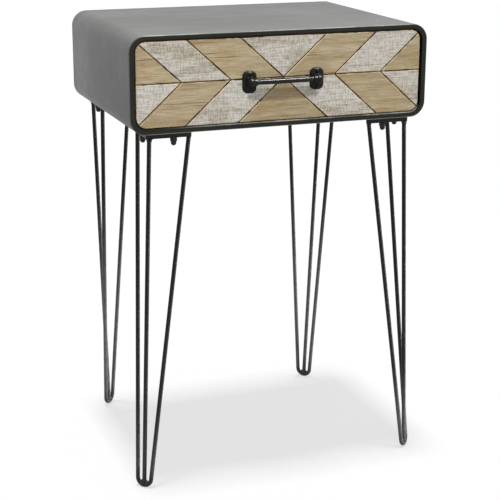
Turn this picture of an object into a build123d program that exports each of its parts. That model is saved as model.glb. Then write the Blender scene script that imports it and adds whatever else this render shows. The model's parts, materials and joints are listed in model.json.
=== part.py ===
from build123d import *
import os
from math import acos, atan2, cos, hypot, radians, sin

# Side table with one drawer: a rounded sheet-metal case on four three-rod hairpin legs.
# Millimetres, +Z up, +X to the right, the drawer opens towards -Y, the floor is Z = 0.

# Whole table
overall_height = 665.0
case_width = 450.0
case_depth = 325.0
case_height = 136.0
corner_radius = 23.0

# Sheet metal of the case
sheet = 1.5
rim_side = 9.0
rim_level = 7.7
opening_radius = 15.7
rim_face = 3.0
rim_return = 14.0
rim_inner_round = 2.2
rim_outer_round = 0.9
rear_flange = 12.0
panel_margin = 3.0
panel_screw_inset = 7.5
panel_screw_pitch = 140.0
panel_screw_radius = 1.5
panel_screw_length = 6.0
panel_head_radius = 3.0
panel_head_height = 1.8

# Hairpin legs: where the rods stand, measured in from the case's outer corner
rod_diameter = 6.35
rod_inset_side = 29.0
rod_inset_end = 8.0
arm_length = 57.5
front_foot = (10.5, 4.0)
rear_foot = (45.5, -6.0)
foot_bend_radius = 11.0
bracket_thickness = 6.5
bracket_width = 10.0
bracket_inner_round = 14.0
arm_end_cut = 1.2
bolt_along_front = 35.2
bolt_along_side = 32.0

# Leg bolts, washers and cap nuts
bolt_diameter = 5.0
bolt_head_radius = 5.0
bolt_head_height = 2.8
bolt_tip_gap = 0.5
washer_radius = 5.0
washer_thickness = 1.0
nut_flats = 9.0
nut_dome_radius = 4.0
nut_hex_height = 4.6
nut_height = 10.7
nut_bore_depth = 7.2
thread_clearance = 0.1

# Drawer front and its tiles
front_gap = 1.2
front_recess = 3.0
tile_thickness = 6.0
board_thickness = 12.0
groove_width = 1.6
tile_chamfer = 0.7
chevron_angle = 42.0
chevron_places = (0.0, 78.6, 151.0)
chevron_shift = 1.5
chevron_lift = 1.6

# Drawer box
wall = 12.0
box_side_height = 86.0
box_lift = 6.0
bottom_thickness = 4.0
bottom_lift = 8.0
housing = 5.0
top_edge_round = 2.0

# Slides
bar_thickness = 6.0
bar_height = 18.0
bar_lug_height = 5.0
bar_lug_length = 14.0
bar_clearance = 0.6
bar_screw_count = 3
bar_screw_radius = 1.6
bar_screw_grip = 8.4
runner_height_share = 0.42
runner_side_gap = 1.0
runner_front_gap = 1.5
drawer_travel = 220.0
travel_slack = 0.5
bumper_radius = 6.0
bumper_height = 6.0
bumper_spacing = 260.0
bumper_gap = 0.3

# Handle
handle_spacing = 102.0
handle_drop = 1.8
foot_drop = 0.9
foot_width = 20.7
foot_height = 31.5
foot_plate = 5.0
foot_corner = 8.0
foot_bevel = 1.8
post_radius = 6.8
socket_radius = 5.6
socket_length = 8.5
socket_bevel = 1.0
bar_offset = 10.5
bar_radius = 3.9
spigot_radius = 2.8
spigot_length = 7.0
handle_screw_offset = 11.2
handle_screw_head = 3.0
handle_screw_dome = 1.8
handle_screw_radius = 1.6
handle_screw_length = 22.0

# Round heads of screws and bolts: how much of the radius is flat and of the height upright
head_flat_share = 0.6
head_wall_share = 0.4

# Straight steps that make up the half profile of a dome
dome_steps = 3

# Small clearance round every screw shank
screw_clearance = 0.15

# Places worked out from the sizes above
rod_radius = rod_diameter / 2
case_bottom = overall_height - case_height
case_middle = case_bottom + case_height / 2
chevron_z = case_middle + chevron_lift
front_y = -case_depth / 2
back_y = case_depth / 2
rod_top = case_bottom - bracket_thickness
lip_back = front_y + rim_return
wrap_front = front_y + rim_face
wrap_back = back_y - sheet
tile_front = front_y + front_recess
board_front = tile_front + tile_thickness
board_back = board_front + board_thickness
box_back = wrap_back - bumper_height - bumper_gap
bar_outer = case_width / 2 - rim_side - front_gap
bar_inner = bar_outer - bar_thickness
box_bottom = case_bottom + rim_level + box_lift
box_top = box_bottom + box_side_height
bar_bottom = case_bottom + case_height * runner_height_share
runner_front = board_back + runner_front_gap
runner_back = wrap_back - sheet
lug_front = runner_front + sheet + drawer_travel + travel_slack
handle_z = case_middle - handle_drop
handle_bar_y = tile_front - bar_offset
LEGS = {"front_left": (-1, -1), "front_right": (1, -1), "rear_left": (-1, 1), "rear_right": (1, 1)}


def rounded_slab(width, height, radius, near_y, far_y):
    """Rounded rectangle about the middle of the case, solid between two depths."""
    plane = Plane(origin=(0, far_y, case_middle), x_dir=(1, 0, 0), z_dir=(0, -1, 0))
    return extrude(plane * RectangleRounded(width, height, radius), amount=far_y - near_y)


def case_slab(inset, near_y, far_y):
    """Slice of the case's section, drawn in by a margin."""
    return rounded_slab(case_width - 2 * inset, case_height - 2 * inset, corner_radius - inset, near_y, far_y)


def opening_slab(inset, near_y, far_y):
    """Slice of the rim's opening, drawn in by a margin."""
    width = case_width - 2 * (rim_side + inset)
    height = case_height - 2 * (rim_level + inset)
    return rounded_slab(width, height, opening_radius - inset, near_y, far_y)


def block(low, high):
    """Straight board between two opposite corners."""
    size = [high[i] - low[i] for i in range(3)]
    return Pos(*low) * Box(*size, align=(Align.MIN, Align.MIN, Align.MIN))


def cylinder_along(start, direction, radius, length):
    """Round bar that leaves a point in one direction."""
    plane = Plane(origin=start, z_dir=direction)
    return extrude(plane * Circle(radius), amount=length)


def turned(profile, start, direction):
    """Turned piece: a half profile of (radius, distance) points spun about its own axis."""
    outline = make_face(Polyline(*profile, close=True))
    spun = revolve(Plane.XZ * outline, Axis.Z)
    return Plane(origin=start, z_dir=direction) * spun


def headed_fastener(head_radius, head_height, shank_radius, shank_length, start, direction):
    """Screw or bolt with a bevelled round head that stands on a seat and a plain shank below it."""
    profile = [
        (0, head_height),
        (head_radius * head_flat_share, head_height),
        (head_radius, head_height * head_wall_share),
        (head_radius, 0),
        (shank_radius, 0),
        (shank_radius, -shank_length),
        (0, -shank_length),
    ]
    return turned(profile, start, direction)


def dome_profile(radius, base):
    """Half profile of a dome as (radius, distance) points, from its edge at the base to its tip."""
    angles = [radians(90 * step / dome_steps) for step in range(dome_steps)]
    return [(radius * cos(angle), base + radius * sin(angle)) for angle in angles] + [(0, base + radius)]


def inset_point(side, end, from_side, from_end, height):
    """Point measured inwards from one outer corner of the case."""
    return Vector(side * (case_width / 2 - from_side), end * (case_depth / 2 - from_end), height)


def bolt_points(side, end, height):
    """The two bolt places of one leg, one on each arm of its bracket."""
    first = inset_point(side, end, rod_inset_side + bolt_along_front, rod_inset_end, height)
    second = inset_point(side, end, rod_inset_side, rod_inset_end + bolt_along_side, height)
    return [first, second]


def all_bolt_points(height):
    """Bolt places of the four legs."""
    return [point for side, end in LEGS.values() for point in bolt_points(side, end, height)]


def panel_screw_points(depth_y):
    """Eight screws round the back panel: three along the top and bottom, one at each side."""
    half_width = case_width / 2 - panel_screw_inset
    half_height = case_height / 2 - panel_screw_inset
    points = [(side * half_width, depth_y, case_middle) for side in (-1, 1)]
    for level in (-1, 1):
        height = case_middle + level * half_height
        points += [(step * panel_screw_pitch, depth_y, height) for step in (-1, 0, 1)]
    return points


def bar_screw_points(side, across):
    """Screw places along one slide bar."""
    length = box_back - board_back
    step = length / bar_screw_count
    middle = bar_bottom + bar_height / 2
    return [(side * across, board_back + step * (i + 0.5), middle) for i in range(bar_screw_count)]


def handle_screw_points(depth_y):
    """Two screws in each handle foot, above and below the bar."""
    middle = handle_z - foot_drop
    return [
        (side * handle_spacing / 2, depth_y, middle + level * handle_screw_offset)
        for side in (-1, 1)
        for level in (-1, 1)
    ]


def case_wrap():
    """Sheet wrapped round the case, with a flange turned in at the back."""
    wrap = case_slab(0, wrap_front, wrap_back)
    wrap -= case_slab(sheet, wrap_front, wrap_back - sheet)
    wrap -= case_slab(rear_flange, wrap_back - sheet, wrap_back)
    hole = bolt_diameter / 2 + screw_clearance
    for point in all_bolt_points(case_bottom):
        wrap -= cylinder_along(point, (0, 0, 1), hole, sheet)
    for point in panel_screw_points(wrap_back):
        wrap -= cylinder_along(point, (0, -1, 0), panel_screw_radius + screw_clearance, sheet)
    return wrap


def front_rim():
    """Formed rim: a rounded face round the opening and a lip that returns into the case."""
    face = case_slab(0, front_y, wrap_front) - opening_slab(0, front_y, wrap_front)
    front = face.faces().sort_by(Axis.Y)[0]
    face = fillet(front.outer_wire().edges(), rim_outer_round)
    front = face.faces().sort_by(Axis.Y)[0]
    face = fillet(front.inner_wires()[0].edges(), rim_inner_round)
    lip = opening_slab(-sheet, wrap_front, lip_back) - opening_slab(0, wrap_front, lip_back)
    return face + lip


def back_panel():
    """Flat panel screwed to the flange from behind."""
    panel = case_slab(panel_margin, wrap_back, back_y)
    for point in panel_screw_points(back_y):
        panel -= cylinder_along(point, (0, -1, 0), panel_screw_radius + screw_clearance, sheet)
    return panel


def back_panel_screws():
    """Round-headed screws of the back panel."""
    sizes = (panel_head_radius, panel_head_height, panel_screw_radius, panel_screw_length)
    return Compound([headed_fastener(*sizes, point, (0, 1, 0)) for point in panel_screw_points(back_y)])


def runner(side):
    """Channel on the case wall that carries one slide bar, with a stop tab turned down at its front."""
    wall_x = case_width / 2 - sheet
    inner_low = bar_bottom - bar_clearance
    inner_high = bar_bottom + bar_height + bar_lug_height + bar_clearance
    reach = wall_x - bar_inner - runner_side_gap
    middle = Pos(side * (wall_x - reach / 2), (inner_low + inner_high) / 2)
    outer = middle * Rectangle(reach, inner_high - inner_low + 2 * sheet)
    hollow = Pos(-side * sheet, 0) * middle * Rectangle(reach, inner_high - inner_low)
    tab_low = bar_bottom + bar_height + bar_clearance
    tab_middle = Pos(side * (wall_x - reach / 2), (tab_low + inner_high) / 2)
    tab = tab_middle * Rectangle(reach, inner_high - tab_low)
    plane = Plane(origin=(0, runner_front, 0), x_dir=(1, 0, 0), z_dir=(0, -1, 0))
    channel = extrude(plane * (outer - hollow), amount=-(runner_back - runner_front))
    return channel + extrude(plane * tab, amount=-sheet)


def rear_bumpers():
    """Two round buffers on the back panel, where the shut drawer stops."""
    height = box_bottom + box_side_height / 2
    places = [(side * bumper_spacing / 2, wrap_back, height) for side in (-1, 1)]
    return Compound([cylinder_along(place, (0, -1, 0), bumper_radius, bumper_height) for place in places])


def bracket(side, end):
    """Flat L-shaped plate with rounded ends that carries the three rods of one leg."""
    corner = inset_point(side, end, rod_inset_side, rod_inset_end, case_bottom)
    length = arm_length - arm_end_cut
    along_x = Pos(corner.X - side * length / 2, corner.Y) * SlotCenterToCenter(length, bracket_width)
    along_y = SlotCenterToCenter(length, bracket_width, rotation=90)
    plan = along_x + Pos(corner.X, corner.Y - end * length / 2) * along_y
    half = bracket_width / 2
    notch = Vector(corner.X - side * half, corner.Y - end * half, 0)
    plan = fillet(plan.vertices().sort_by_distance(notch)[0], bracket_inner_round)
    plate = extrude(Pos(0, 0, rod_top) * plan, amount=bracket_thickness)
    for point in bolt_points(side, end, rod_top):
        plate -= cylinder_along(point, (0, 0, 1), bolt_diameter / 2 + screw_clearance, bracket_thickness)
    return plate


def foot_point(side, end):
    """Middle of the rod where one leg stands on the floor."""
    from_side, from_end = front_foot if end < 0 else rear_foot
    return inset_point(side, end, from_side, from_end, rod_radius)


def hairpin_rod(side, end):
    """Rod bent into a U in its own leaning plane, its arms running from the bend to the bracket."""
    foot = foot_point(side, end)
    top_x = inset_point(side, end, rod_inset_side + arm_length, rod_inset_end, rod_top)
    top_y = inset_point(side, end, rod_inset_side, rod_inset_end + arm_length, rod_top)
    across = (top_x - top_y).normalized()
    plane = Plane(origin=foot, x_dir=across, z_dir=across.cross((top_x + top_y) * 0.5 - foot))
    arms = []
    for top, turn in ((top_x, -1), (top_y, 1)):
        high = plane.to_local_coords(top)
        distance = hypot(high.X, high.Y - foot_bend_radius)
        angle = atan2(high.Y - foot_bend_radius, high.X) + turn * acos(foot_bend_radius / distance)
        touch = Vector(foot_bend_radius * cos(angle), foot_bend_radius * (1 + sin(angle)))
        past_top = high + (high - touch).normalized() * rod_diameter
        arms.append((past_top, touch))
    (right_top, right_touch), (left_top, left_touch) = arms
    edges = [
        Line(left_top, left_touch),
        ThreePointArc(left_touch, (0, 0), right_touch),
        Line(right_touch, right_top),
    ]
    path = plane * Wire(edges)
    profile = Plane(origin=path @ 0, z_dir=path % 0) * Circle(rod_radius)
    return split(sweep(profile, path=path), bisect_by=Plane.XY.offset(rod_top), keep=Keep.BOTTOM)


def corner_rod(side, end, bent_rod):
    """Straight rod from the bracket's corner, coped to sit in the bend of the hairpin."""
    foot = foot_point(side, end)
    top = inset_point(side, end, rod_inset_side, rod_inset_end, rod_top)
    rise = (top - foot).normalized()
    start = foot + rise * (rod_radius / 2)
    rod = cylinder_along(start, rise, rod_radius, (top - start).length + rod_diameter)
    return split(rod, bisect_by=Plane.XY.offset(rod_top), keep=Keep.BOTTOM) - bent_rod


def leg_bolts():
    """Round-headed bolts dropped through the case floor and the brackets."""
    shank = sheet + bracket_thickness + washer_thickness + nut_bore_depth - bolt_tip_gap
    sizes = (bolt_head_radius, bolt_head_height, bolt_diameter / 2, shank)
    seats = all_bolt_points(case_bottom + sheet)
    return Compound([headed_fastener(*sizes, seat, (0, 0, 1)) for seat in seats])


def leg_washers():
    """Flat washers under the brackets."""
    ring = Circle(washer_radius) - Circle(bolt_diameter / 2 + screw_clearance)
    washer = extrude(ring, amount=-washer_thickness)
    return Compound([Pos(*point) * washer for point in all_bolt_points(rod_top)])


def cap_nut():
    """Hexagonal nut closed by a dome, hanging below its own origin."""
    hexagon = extrude(RegularPolygon(nut_flats / 2, 6, major_radius=False), amount=-nut_height)
    outline = [(0, 0), (nut_flats, 0), (nut_flats, nut_hex_height), (nut_dome_radius, nut_hex_height)]
    outline += dome_profile(nut_dome_radius, nut_height - nut_dome_radius)
    nut = hexagon & turned(outline, (0, 0, 0), (0, 0, -1))
    return nut - cylinder_along((0, 0, 0), (0, 0, -1), bolt_diameter / 2 + thread_clearance, nut_bore_depth)


def leg_cap_nuts():
    """Cap nuts of the four legs."""
    return Compound([Pos(*point) * cap_nut() for point in all_bolt_points(rod_top - washer_thickness)])


def front_tiles():
    """Chevron tiles: the front outline parted by one level groove and by grooves that slant away from it."""
    face = opening_slab(front_gap, tile_front, board_front)
    cutter = Box(2 * case_width, 3 * tile_thickness, groove_width)
    face -= Pos(0, tile_front, chevron_z) * cutter
    reach = case_height / sin(radians(chevron_angle))
    slanted = Pos(reach / 2, 0, 0) * Box(reach, 3 * tile_thickness, groove_width)
    for side in (-1, 1):
        for place in chevron_places:
            meeting = Pos(chevron_shift + side * place, tile_front, chevron_z)
            for level in (-1, 1):
                slope = level * chevron_angle if side > 0 else 180 - level * chevron_angle
                face -= meeting * Rot(0, -slope, 0) * slanted
    return face.solids()


def named_tiles():
    """Tiles by name, numbered from the left in each row, with their front edges eased."""
    tiles = {}
    cut_tiles = front_tiles()
    hole_radius = handle_screw_radius + screw_clearance
    for row, upper in (("upper", True), ("lower", False)):
        members = [tile for tile in cut_tiles if (tile.center().Z > chevron_z) == upper]
        for number, tile in enumerate(sorted(members, key=lambda piece: piece.center().X), start=1):
            edges = tile.faces().sort_by(Axis.Y)[0].edges()
            eased = tile.chamfer(tile_chamfer, None, edges)
            for point in handle_screw_points(tile_front):
                eased -= cylinder_along(point, (0, 1, 0), hole_radius, tile_thickness)
            tiles[f"tile_{row}_{number}"] = eased
    return tiles


def side_board(side):
    """One wall of the drawer box with its upper edges rounded."""
    inner = bar_inner - wall
    low = (min(side * inner, side * bar_inner), board_back - housing, box_bottom)
    high = (max(side * inner, side * bar_inner), box_back, box_top)
    board = block(low, high)
    top_edges = board.faces().sort_by(Axis.Z)[-1].edges().filter_by(Axis.Y)
    return fillet(top_edges, top_edge_round)


def drawer_pieces():
    """Boards of the drawer box, housed in one another."""
    inner = bar_inner - wall
    bottom_z = box_bottom + bottom_lift
    bottom_half = inner + housing
    bottom = block(
        (-bottom_half, board_back - housing, bottom_z),
        (bottom_half, box_back - wall / 2, bottom_z + bottom_thickness),
    )
    back_top = box_top - top_edge_round
    back = block((-bottom_half, box_back - wall, box_bottom), (bottom_half, box_back, back_top)) - bottom
    front = opening_slab(front_gap, board_front, board_back) - bottom
    for point in handle_screw_points(board_front):
        front -= cylinder_along(point, (0, 1, 0), handle_screw_radius + screw_clearance, board_thickness)
    boards = {}
    for name, side in (("left", -1), ("right", 1)):
        board = side_board(side)
        front -= board
        board = board - bottom - back
        for point in bar_screw_points(side, bar_inner):
            board -= cylinder_along(point, (-side, 0, 0), bar_screw_radius + screw_clearance, wall)
        boards[f"drawer_side_{name}"] = board
    return {"drawer_front_board": front, "drawer_back": back, "drawer_bottom": bottom, **boards}


def slide_bar(side):
    """Bar on the drawer's side that runs in the channel, with a lug that meets the stop tab."""
    lug_back = lug_front + bar_lug_length
    top = bar_bottom + bar_height
    outline = Polyline(
        (board_back, bar_bottom),
        (box_back, bar_bottom),
        (box_back, top),
        (lug_back, top),
        (lug_back - bar_lug_height / 2, top + bar_lug_height),
        (lug_front, top + bar_lug_height),
        (lug_front, top),
        (board_back, top),
        close=True,
    )
    profile = Plane.YZ.offset(side * bar_inner) * make_face(outline)
    bar = extrude(profile, amount=side * bar_thickness)
    for point in bar_screw_points(side, bar_outer):
        bar -= countersunk_screw(point, side, screw_clearance)
    return bar


def countersunk_screw(point, side, clearance):
    """Countersunk screw that goes in flush from the outside of a slide bar."""
    radius = bar_screw_radius + clearance
    head = 2 * bar_screw_radius + clearance
    taper = head - radius
    length = bar_thickness + bar_screw_grip
    profile = [(0, 0), (head, 0), (radius, -taper), (radius, -length), (0, -length)]
    return turned(profile, point, (side, 0, 0))


def slide_bar_screws():
    """Screws of the two slide bars."""
    screws = []
    for side in (-1, 1):
        screws += [countersunk_screw(point, side, 0) for point in bar_screw_points(side, bar_outer)]
    return Compound(screws)


def handle_foot(side):
    """Cast foot: a rounded plate, a round post with a domed end, and a socket that holds one end of the bar."""
    seat = Vector(side * handle_spacing / 2, tile_front, handle_z)
    plane = Plane(origin=seat - Vector(0, 0, foot_drop), x_dir=(1, 0, 0), z_dir=(0, -1, 0))
    plate = extrude(plane * RectangleRounded(foot_width, foot_height, foot_corner), amount=foot_plate)
    plate = chamfer(plate.faces().sort_by(Axis.Y)[0].edges(), foot_bevel)
    post = turned([(0, 0), (post_radius, 0)] + dome_profile(post_radius, bar_offset), seat, (0, -1, 0))
    bar_end = Vector(seat.X, handle_bar_y, handle_z)
    socket = cylinder_along(bar_end, (-side, 0, 0), socket_radius, socket_length)
    mouth = bar_end - Vector(side * socket_length, 0, 0)
    mouth_edge = socket.edges().filter_by(GeomType.CIRCLE).sort_by_distance(mouth)[0]
    foot = plate + post + chamfer(mouth_edge, socket_bevel)
    foot -= cylinder_along(mouth, (side, 0, 0), spigot_radius + thread_clearance, spigot_length)
    for point in handle_screw_points(tile_front):
        foot -= cylinder_along(point, (0, -1, 0), handle_screw_radius + screw_clearance, foot_plate)
    return foot


def handle_bar():
    """Turned bar whose shoulders meet the sockets, with a spigot inside each."""
    shoulder = handle_spacing / 2 - socket_length
    tip = shoulder + spigot_length - thread_clearance
    half = [(spigot_radius, tip), (spigot_radius, shoulder), (bar_radius, shoulder)]
    mirrored = [(radius, -distance) for radius, distance in reversed(half)]
    profile = [(0, tip)] + half + mirrored + [(0, -tip)]
    return turned(profile, (0, handle_bar_y, handle_z), (1, 0, 0))


def handle_screws():
    """Round-headed screws that hold the handle feet to the drawer front."""
    sizes = (handle_screw_head, handle_screw_dome, handle_screw_radius, handle_screw_length)
    seats = handle_screw_points(tile_front - foot_plate)
    return Compound([headed_fastener(*sizes, seat, (0, -1, 0)) for seat in seats])


def table_pieces():
    """Every piece of the table by name, in its place."""
    pieces = {
        "case_wrap": case_wrap(),
        "front_rim": front_rim(),
        "back_panel": back_panel(),
        "back_panel_screws": back_panel_screws(),
        "rear_bumpers": rear_bumpers(),
        "runner_left": runner(-1),
        "runner_right": runner(1),
        "leg_bolts": leg_bolts(),
        "leg_washers": leg_washers(),
        "leg_cap_nuts": leg_cap_nuts(),
    }
    for leg, (side, end) in LEGS.items():
        bent_rod = hairpin_rod(side, end)
        pieces[f"{leg}_bracket"] = bracket(side, end)
        pieces[f"{leg}_hairpin_rod"] = bent_rod
        pieces[f"{leg}_corner_rod"] = corner_rod(side, end, bent_rod)
    pieces.update(drawer_pieces())
    pieces.update(named_tiles())
    pieces["slide_bar_left"] = slide_bar(-1)
    pieces["slide_bar_right"] = slide_bar(1)
    pieces["slide_bar_screws"] = slide_bar_screws()
    pieces["handle_foot_left"] = handle_foot(-1)
    pieces["handle_foot_right"] = handle_foot(1)
    pieces["handle_bar"] = handle_bar()
    pieces["handle_screws"] = handle_screws()
    return pieces


def main():
    """Build the pieces, put the origin under the middle of the whole table and write one file for each."""
    pieces = table_pieces()
    boxes = [piece.bounding_box() for piece in pieces.values()]
    middle_y = (min(box.min.Y for box in boxes) + max(box.max.Y for box in boxes)) / 2
    os.makedirs("parts", exist_ok=True)
    for name, piece in pieces.items():
        export_step(Pos(0, -middle_y, 0) * piece, f"parts/{name}.step")
    print("pieces", len(pieces), "shifted in Y by", round(-middle_y, 4))


main()
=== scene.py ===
import json
import math

import bmesh
import bpy
from bpy.props import FloatProperty, FloatVectorProperty, IntProperty, PointerProperty
from mathutils import Matrix, Vector, noise

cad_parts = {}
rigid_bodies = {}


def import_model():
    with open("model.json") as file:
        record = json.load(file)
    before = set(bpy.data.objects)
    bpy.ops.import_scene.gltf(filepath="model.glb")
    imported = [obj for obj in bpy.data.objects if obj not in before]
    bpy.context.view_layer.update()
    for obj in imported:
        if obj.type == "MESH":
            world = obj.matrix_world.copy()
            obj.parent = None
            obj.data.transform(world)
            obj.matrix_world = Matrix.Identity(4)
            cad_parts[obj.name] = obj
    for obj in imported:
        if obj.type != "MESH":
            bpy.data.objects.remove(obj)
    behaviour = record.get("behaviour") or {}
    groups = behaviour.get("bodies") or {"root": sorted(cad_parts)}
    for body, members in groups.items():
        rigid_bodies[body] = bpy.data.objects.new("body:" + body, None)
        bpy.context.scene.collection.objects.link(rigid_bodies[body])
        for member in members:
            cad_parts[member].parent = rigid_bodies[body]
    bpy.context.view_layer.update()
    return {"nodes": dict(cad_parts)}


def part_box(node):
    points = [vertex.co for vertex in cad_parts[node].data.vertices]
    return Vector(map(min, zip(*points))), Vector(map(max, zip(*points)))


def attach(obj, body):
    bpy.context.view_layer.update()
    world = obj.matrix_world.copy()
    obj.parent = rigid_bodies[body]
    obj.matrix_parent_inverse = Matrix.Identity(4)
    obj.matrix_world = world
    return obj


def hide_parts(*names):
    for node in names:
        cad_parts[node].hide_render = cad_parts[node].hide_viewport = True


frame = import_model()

bl_info = {
    "name": "Side table with drawer",
    "version": (1, 0, 0),
    "blender": (4, 5, 0),
    "location": "View3D > Sidebar > Side table",
    "description": "Builds the looks of a hairpin-leg side table round its fixed frame",
    "category": "Object",
}

# The four legs: which way each one lies from the middle of the table, to the right and to the back
LEGS = {"front_left": (-1, -1), "front_right": (1, -1), "rear_left": (-1, 1), "rear_right": (1, 1)}
ROWS = ("upper", "lower")
TILES_IN_A_ROW = 7
X_AXIS, Y_AXIS, Z_AXIS = Vector((1, 0, 0)), Vector((0, 1, 0)), Vector((0, 0, 1))

# Where each tile's grain and tone come from: a first seed, a step to the next tile and a step to the next row
FIRST_SEED, SEED_STEP, SEED_ROW_STEP = 9.44, 0.37, 3.1

# Angles, in degrees, above which an edge stays sharp under light
FLAT_ANGLE, USUAL_ANGLE, WELD_ANGLE, CAST_ANGLE = 25.0, 35.0, 60.0, 80.0


def screen_colour(red, green, blue):
    """Shader colour of the 0 to 255 values that a screen shows."""
    shares = [value / 255 for value in (red, green, blue)]
    return tuple(s / 12.92 if s <= 0.04045 else ((s + 0.055) / 1.055) ** 2.4 for s in shares)


def length(name, description, default):
    """Property for one length in metres."""
    return FloatProperty(
        name=name, description=description, default=default, min=0.0, unit="LENGTH", precision=5
    )


def angle(name, description, degrees):
    """Property for one angle, given in degrees."""
    return FloatProperty(name=name, description=description, default=math.radians(degrees), unit="ROTATION")


def amount(name, description, default):
    """Property for one strength or share."""
    return FloatProperty(name=name, description=description, default=default, min=0.0)


def position(name, description, default):
    """Property for one place in metres."""
    return FloatVectorProperty(
        name=name, description=description, default=default, subtype="TRANSLATION", size=3
    )


def colour(name, description, red, green, blue):
    """Property for one colour, given as a screen shows it."""
    default = screen_colour(red, green, blue)
    return FloatVectorProperty(
        name=name, description=description, default=default, subtype="COLOR", size=3, min=0.0, max=1.0
    )


class TableSizes(bpy.types.PropertyGroup):
    """Sizes that the fixed frame's boxes don't give."""

    case_corner: length("Case corner", "Radius of the case's four long edges", 0.023)
    sheet: length("Sheet", "Thickness of the sheet metal", 0.0015)
    rear_flange: length("Rear flange", "Width of the edge turned in at the back", 0.012)
    fold: length("Fold", "Radius of a fold in the sheet", 0.0018)
    rim_side: length("Rim side", "Width of the rim's upright stretches", 0.009)
    rim_level: length("Rim level", "Width of the rim's level stretches", 0.0077)
    opening_corner: length("Opening corner", "Corner radius of the rim's opening", 0.0157)
    rim_face: length("Rim face", "Thickness of the rim's face", 0.003)
    rim_camber: length("Rim camber", "How far the rim's face falls back towards its outer edge", 0.0003)
    rim_inner_round: length("Rim inner round", "Radius of the rim's inner front edge", 0.0022)
    rim_outer_round: length("Rim outer round", "Radius of the rim's outer front edge", 0.0012)
    rod: length("Rod", "Diameter of the leg rods", 0.00635)
    foot_bend: length("Foot bend", "Radius of the rod's middle line at the foot", 0.011)
    plate_width: length("Plate width", "Width of a leg plate's arm", 0.010)
    plate_overhang: length("Plate overhang", "How far a plate runs past the middle of its outer rod", 0.0038)
    plate_edge: length("Plate edge", "Width of the rounded edges of the leg plates", 0.001)
    weld: length("Weld", "How far a weld spreads from its rod at the plate", 0.0034)
    weld_drop: length("Weld drop", "How far a weld runs down its rod", 0.0046)
    nut: length("Nut", "Width of a dome nut across its flats", 0.009)
    washer: length("Washer", "Radius of a washer", 0.005)
    washer_hole: length("Washer hole", "Radius of a washer's hole", 0.0026)
    bolt_head: length("Bolt head", "Radius of a leg bolt's head", 0.005)
    bolt_cross: length("Bolt cross", "Width of the cross in a leg bolt's head", 0.0012)
    small_head: length("Small head", "Radius of the heads of the small screws", 0.003)
    back_cross: length("Back cross", "Width of the cross in the heads of the back's screws", 0.0009)
    handle_slot: length("Handle slot", "Width of the slot in the heads of the handle's screws", 0.0008)
    tile_pitch: length("Tile pitch", "Spacing of the points over a tile's sawn face", 0.0011)
    tile_edge: length("Tile edge", "Width of a tile's broken edge", 0.0008)
    tile_relief: length("Tile relief", "Depth of the saw marks on a tile", 0.00035)
    board_edge: length("Board edge", "Width of the eased edges of boards", 0.0007)
    metal_edge: length("Metal edge", "Width of the eased edges of plates", 0.0005)
    cast_voxel: length("Cast voxel", "Fineness of the cast handle feet", 0.0004)
    foot_corner: length("Foot corner", "Corner radius of a handle foot's plate", 0.008)
    foot_plate: length("Foot plate", "Thickness of a handle foot's plate", 0.005)
    post: length("Post", "Radius of the post that stands on a handle foot", 0.0068)
    socket: length("Socket", "Radius of the socket that holds the handle's bar", 0.0056)
    socket_reach: length("Socket reach", "How far the socket reaches in from the post's middle", 0.0085)
    rail_edge: length("Rail edge", "Width of the eased edges at the ends of the handle's bar", 0.0006)
    round_sides: IntProperty(name="Round sides", description="Sides of a round rod", default=24, min=8)


class TableColours(bpy.types.PropertyGroup):
    """Colours of the finishes."""

    case: colour("Case", "Lacquered steel of the case", 95, 96, 94)
    rim: colour("Rim", "Darkened steel of the rim", 36, 36, 28)
    # This colour serves real edge wear and also the painted highlights on ledges and on the rim's edges
    wear_and_sheen: colour("Wear and sheen", "Steel where the finish has rubbed off", 172, 171, 166)
    leg: colour("Leg", "Blackened steel of the legs", 24, 24, 24)
    # This colour is painted light: it lightens the lower legs, most at the back and the right
    leg_light: colour("Leg light", "Legs near the floor, dulled by dust", 128, 127, 124)
    iron: colour("Iron", "Black cast iron of the handle", 13, 12, 10)
    zinc: colour("Zinc", "Plated steel of the slides", 178, 180, 180)
    rubber: colour("Rubber", "Rubber of the buffers", 38, 38, 38)
    wood_light: colour("Light wood", "Pale bands of the bare tiles", 226, 210, 175)
    wood_middle: colour("Middle wood", "Body of the bare tiles", 200, 181, 142)
    wood_dark: colour("Dark wood", "Dark streaks of the tiles", 128, 98, 62)
    wood_warm: colour("Warm wood", "Warm patches of the bare tiles", 198, 165, 114)
    # Painted shade for the grooves, laid on the tiles' sides and the edges along them
    groove_shade: colour("Groove", "Depth of the grooves between the tiles", 98, 78, 52)
    wash: colour("Whitewash", "Pigment on the whitewashed tiles", 241, 237, 229)
    washed_wood: colour("Washed wood", "Wood that shows through the whitewash", 176, 162, 137)
    board_light: colour("Light board", "Pale bands of the drawer's boards", 214, 188, 146)
    board_dark: colour("Dark board", "Dark bands of the drawer's boards", 178, 143, 98)


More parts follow.
